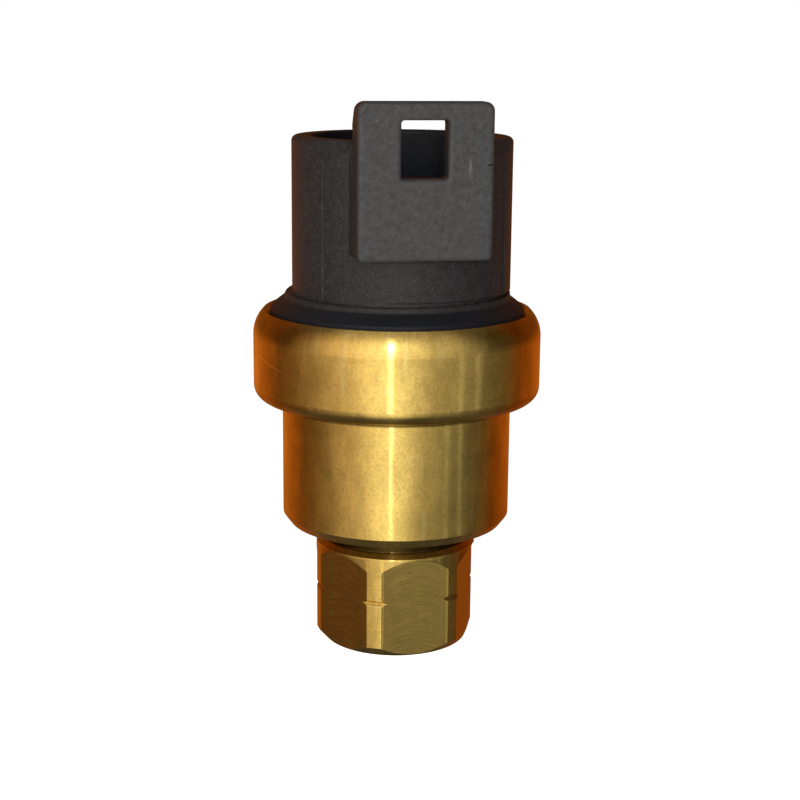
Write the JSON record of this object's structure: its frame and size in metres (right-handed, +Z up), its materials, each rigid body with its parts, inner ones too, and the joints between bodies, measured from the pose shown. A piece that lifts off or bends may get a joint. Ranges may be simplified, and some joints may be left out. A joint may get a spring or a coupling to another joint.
{
  "type": "pressure switch",
  "caption": "Brass-bodied pressure switch with a hex flare port, crimped plastic head and round shrouded connector with a latch plate.",
  "frame": {"origin": "centre of the hex's bottom face, on the body's axis", "axes": "+Z up along the body's axis, from the port to the connector; the connector's latch plate faces -Y"},
  "size_m": [0.0308, 0.0308, 0.0589],
  "materials": {
    "body_brass": "machined, lightly tarnished",
    "plated_brass": "nickel plated",
    "copper": "annealed copper",
    "sintered_bronze": "sintered, porous",
    "seal_rubber": "matt",
    "spring_foil": "rolled stainless foil",
    "zinc_steel": "zinc plated",
    "turned_aluminium": "turned",
    "ceramic_pin": "ground",
    "spring_steel": "drawn wire",
    "turned_brass": "turned",
    "bush_plastic": "moulded",
    "carrier_plastic": "glass-filled moulding",
    "contact_bronze": "rolled strip",
    "contact_silver": "silver",
    "tinned_terminal": "tinned strip",
    "potting_resin": "poured resin",
    "housing_plastic": "grained black moulding"
  },
  "bodies": {
    "switch_body": {"port_body": "body_brass", "valve_depressor": "plated_brass", "flare_gasket": "copper", "inlet_filter": "sintered_bronze", "diaphragm_seal": "seal_rubber", "diaphragm": "spring_foil", "diaphragm_clamp_ring": "zinc_steel", "calibration_spring": "spring_steel", "spring_seat_washer": "zinc_steel", "adjusting_nut": "turned_brass", "piston_guide_bush": "bush_plastic", "contact_carrier": "carrier_plastic", "arm_pivot_pin": "zinc_steel", "arm_return_spring": "spring_steel", "normally_closed_contact": "contact_silver", "normally_open_contact": "contact_silver", "terminal_common": "tinned_terminal", "terminal_nc": "tinned_terminal", "terminal_no": "tinned_terminal", "terminal_potting": "potting_resin", "housing_seal": "seal_rubber", "connector_housing": "housing_plastic"},
    "plunger": {"piston": "turned_aluminium", "push_pin": "ceramic_pin"},
    "switch_arm": {"contact_arm": "contact_bronze", "moving_contact": "contact_silver"}
  },
  "joints": [
    {"name": "piston_slide", "type": "slide", "parent": "switch_body", "child": "plunger", "axis": [0, 0, 1], "range_m": [0, 0.00035], "stiffness_N_per_m": 60000, "springref_m": -0.0012, "deforming": ["calibration_spring", "diaphragm"]},
    {"name": "arm_hinge", "type": "hinge", "parent": "switch_body", "child": "switch_arm", "pos_m": [-0.006, 0, 0.0342], "axis": [0, -1, 0], "range_deg": [0, 3.4], "stiffness_Nm_per_rad": 0.02, "springref_deg": -2.86, "deforming": ["arm_return_spring"]}
  ],
  "couplings": [
    {"joint": "arm_hinge", "follows": "piston_slide", "rad_per_m": 166.67}
  ]
}
